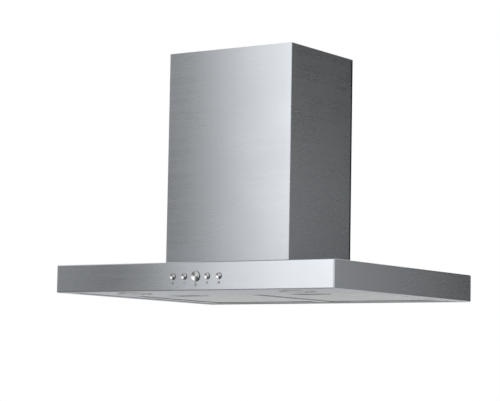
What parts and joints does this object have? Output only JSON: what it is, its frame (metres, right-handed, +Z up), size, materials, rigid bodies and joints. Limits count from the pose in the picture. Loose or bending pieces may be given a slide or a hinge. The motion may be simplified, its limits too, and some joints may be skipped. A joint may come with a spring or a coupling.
{
  "type": "chimney range hood",
  "caption": "Ceiling-hung range hood: slim box canopy with push buttons, lamps and drop-down grease filters, a blower, and a telescoping rectangular chimney.",
  "frame": {"origin": "centre of the canopy's footprint, level with its bottom rim", "axes": "+X to the right as seen from the front, +Y to the back, +Z up towards the ceiling"},
  "size_m": [0.6, 0.502, 0.451],
  "materials": {
    "brushed_steel": "horizontally brushed stainless steel",
    "galvanised_steel": "dull zinc-coated sheet",
    "chrome": "polished",
    "aluminium": "satin",
    "filter_mesh": "layers of expanded mesh",
    "frosted_glass": "frosted",
    "black_plastic": "moulded, matt",
    "grey_plastic": "moulded, matt",
    "white_plastic": "moulded, matt",
    "board_green": "lacquered circuit board",
    "spring_steel": "bright drawn steel",
    "motor_steel": "dark enamel",
    "cable_sheath": "flexible sheath"
  },
  "bodies": {
    "hood": {"canopy_shell": "brushed_steel", "underside_panel": "brushed_steel", "filter_rail": "brushed_steel", "lamp_bezel_left": "chrome", "lamp_bezel_right": "chrome", "lamp_lens_left": "frosted_glass", "lamp_lens_right": "frosted_glass", "lamp_housing_left": "aluminium", "lamp_housing_right": "aluminium", "lamp_cable_left": "cable_sheath", "lamp_cable_right": "cable_sheath", "control_carrier": "black_plastic", "control_board": "board_green", "control_cable": "cable_sheath", "light_button_spring": "spring_steel", "minus_button_spring": "spring_steel", "power_button_spring": "spring_steel", "plus_button_spring": "spring_steel", "timer_button_spring": "spring_steel", "motor_box": "galvanised_steel", "blower_scroll_left": "black_plastic", "blower_scroll_right": "black_plastic", "motor_body": "motor_steel", "motor_bracket": "galvanised_steel", "motor_cable": "cable_sheath", "outlet_collar": "black_plastic", "power_box": "grey_plastic", "power_box_cover": "grey_plastic", "capacitor": "white_plastic", "cable_gland": "black_plastic", "lower_cover_front": "brushed_steel", "lower_cover_rear": "brushed_steel", "lower_post_front_left": "galvanised_steel", "lower_post_back_left": "galvanised_steel", "lower_post_front_right": "galvanised_steel", "lower_post_back_right": "galvanised_steel"},
    "upper_chimney": {"upper_cover_front": "brushed_steel", "upper_cover_rear": "brushed_steel", "ceiling_plate": "galvanised_steel", "upper_post_front_left": "galvanised_steel", "upper_post_back_left": "galvanised_steel", "upper_post_front_right": "galvanised_steel", "upper_post_back_right": "galvanised_steel"},
    "left_filter": {"filter_frame_left": "aluminium", "filter_pad_left": "filter_mesh", "filter_handle_left": "grey_plastic"},
    "right_filter": {"filter_frame_right": "aluminium", "filter_pad_right": "filter_mesh", "filter_handle_right": "grey_plastic"},
    "left_latch": {"filter_latch_left": "grey_plastic"},
    "right_latch": {"filter_latch_right": "grey_plastic"},
    "light_button": {"light_button": "chrome"},
    "minus_button": {"minus_button": "chrome"},
    "power_button": {"power_button": "chrome"},
    "plus_button": {"plus_button": "chrome"},
    "timer_button": {"timer_button": "chrome"},
    "fan": {"fan_rotor": "white_plastic", "motor_shaft": "spring_steel"},
    "front_flap": {"outlet_flap_front": "black_plastic"},
    "back_flap": {"outlet_flap_back": "black_plastic"}
  },
  "joints": [
    {"name": "chimney_extension", "type": "slide", "parent": "hood", "child": "upper_chimney", "axis": [0, 0, 1], "range_m": [0, 0.3]},
    {"name": "left_filter_drop", "type": "hinge", "parent": "hood", "child": "left_filter", "pos_m": [-0.1341, 0.2175, 0.0059], "axis": [1, 0, 0], "range_deg": [0, 75]},
    {"name": "right_filter_drop", "type": "hinge", "parent": "hood", "child": "right_filter", "pos_m": [0.1341, 0.2175, 0.0059], "axis": [1, 0, 0], "range_deg": [0, 75]},
    {"name": "left_latch_slide", "type": "slide", "parent": "left_filter", "child": "left_latch", "axis": [0, 1, 0], "range_m": [0, 0.007], "stiffness_N_per_m": 400, "springref_m": -0.005},
    {"name": "right_latch_slide", "type": "slide", "parent": "right_filter", "child": "right_latch", "axis": [0, 1, 0], "range_m": [0, 0.007], "stiffness_N_per_m": 400, "springref_m": -0.005},
    {"name": "light_button_push", "type": "slide", "parent": "hood", "child": "light_button", "axis": [0, 1, 0], "range_m": [0, 0.0018], "stiffness_N_per_m": 500, "springref_m": -0.002, "deforming": ["light_button_spring"]},
    {"name": "minus_button_push", "type": "slide", "parent": "hood", "child": "minus_button", "axis": [0, 1, 0], "range_m": [0, 0.0018], "stiffness_N_per_m": 500, "springref_m": -0.002, "deforming": ["minus_button_spring"]},
    {"name": "power_button_push", "type": "slide", "parent": "hood", "child": "power_button", "axis": [0, 1, 0], "range_m": [0, 0.0018], "stiffness_N_per_m": 500, "springref_m": -0.002, "deforming": ["power_button_spring"]},
    {"name": "plus_button_push", "type": "slide", "parent": "hood", "child": "plus_button", "axis": [0, 1, 0], "range_m": [0, 0.0018], "stiffness_N_per_m": 500, "springref_m": -0.002, "deforming": ["plus_button_spring"]},
    {"name": "timer_button_push", "type": "slide", "parent": "hood", "child": "timer_button", "axis": [0, 1, 0], "range_m": [0, 0.0018], "stiffness_N_per_m": 500, "springref_m": -0.002, "deforming": ["timer_button_spring"]},
    {"name": "fan_spin", "type": "hinge", "parent": "hood", "child": "fan", "pos_m": [-0.0387, -0.04, 0.1609], "axis": [1, 0, 0], "continuous": true},
    {"name": "front_flap_lift", "type": "hinge", "parent": "hood", "child": "front_flap", "pos_m": [-0.0387, -0.019, 0.3554], "axis": [-1, 0, 0], "range_deg": [0, 78]},
    {"name": "back_flap_lift", "type": "hinge", "parent": "hood", "child": "back_flap", "pos_m": [-0.0387, -0.011, 0.3554], "axis": [1, 0, 0], "range_deg": [0, 78]}
  ]
}
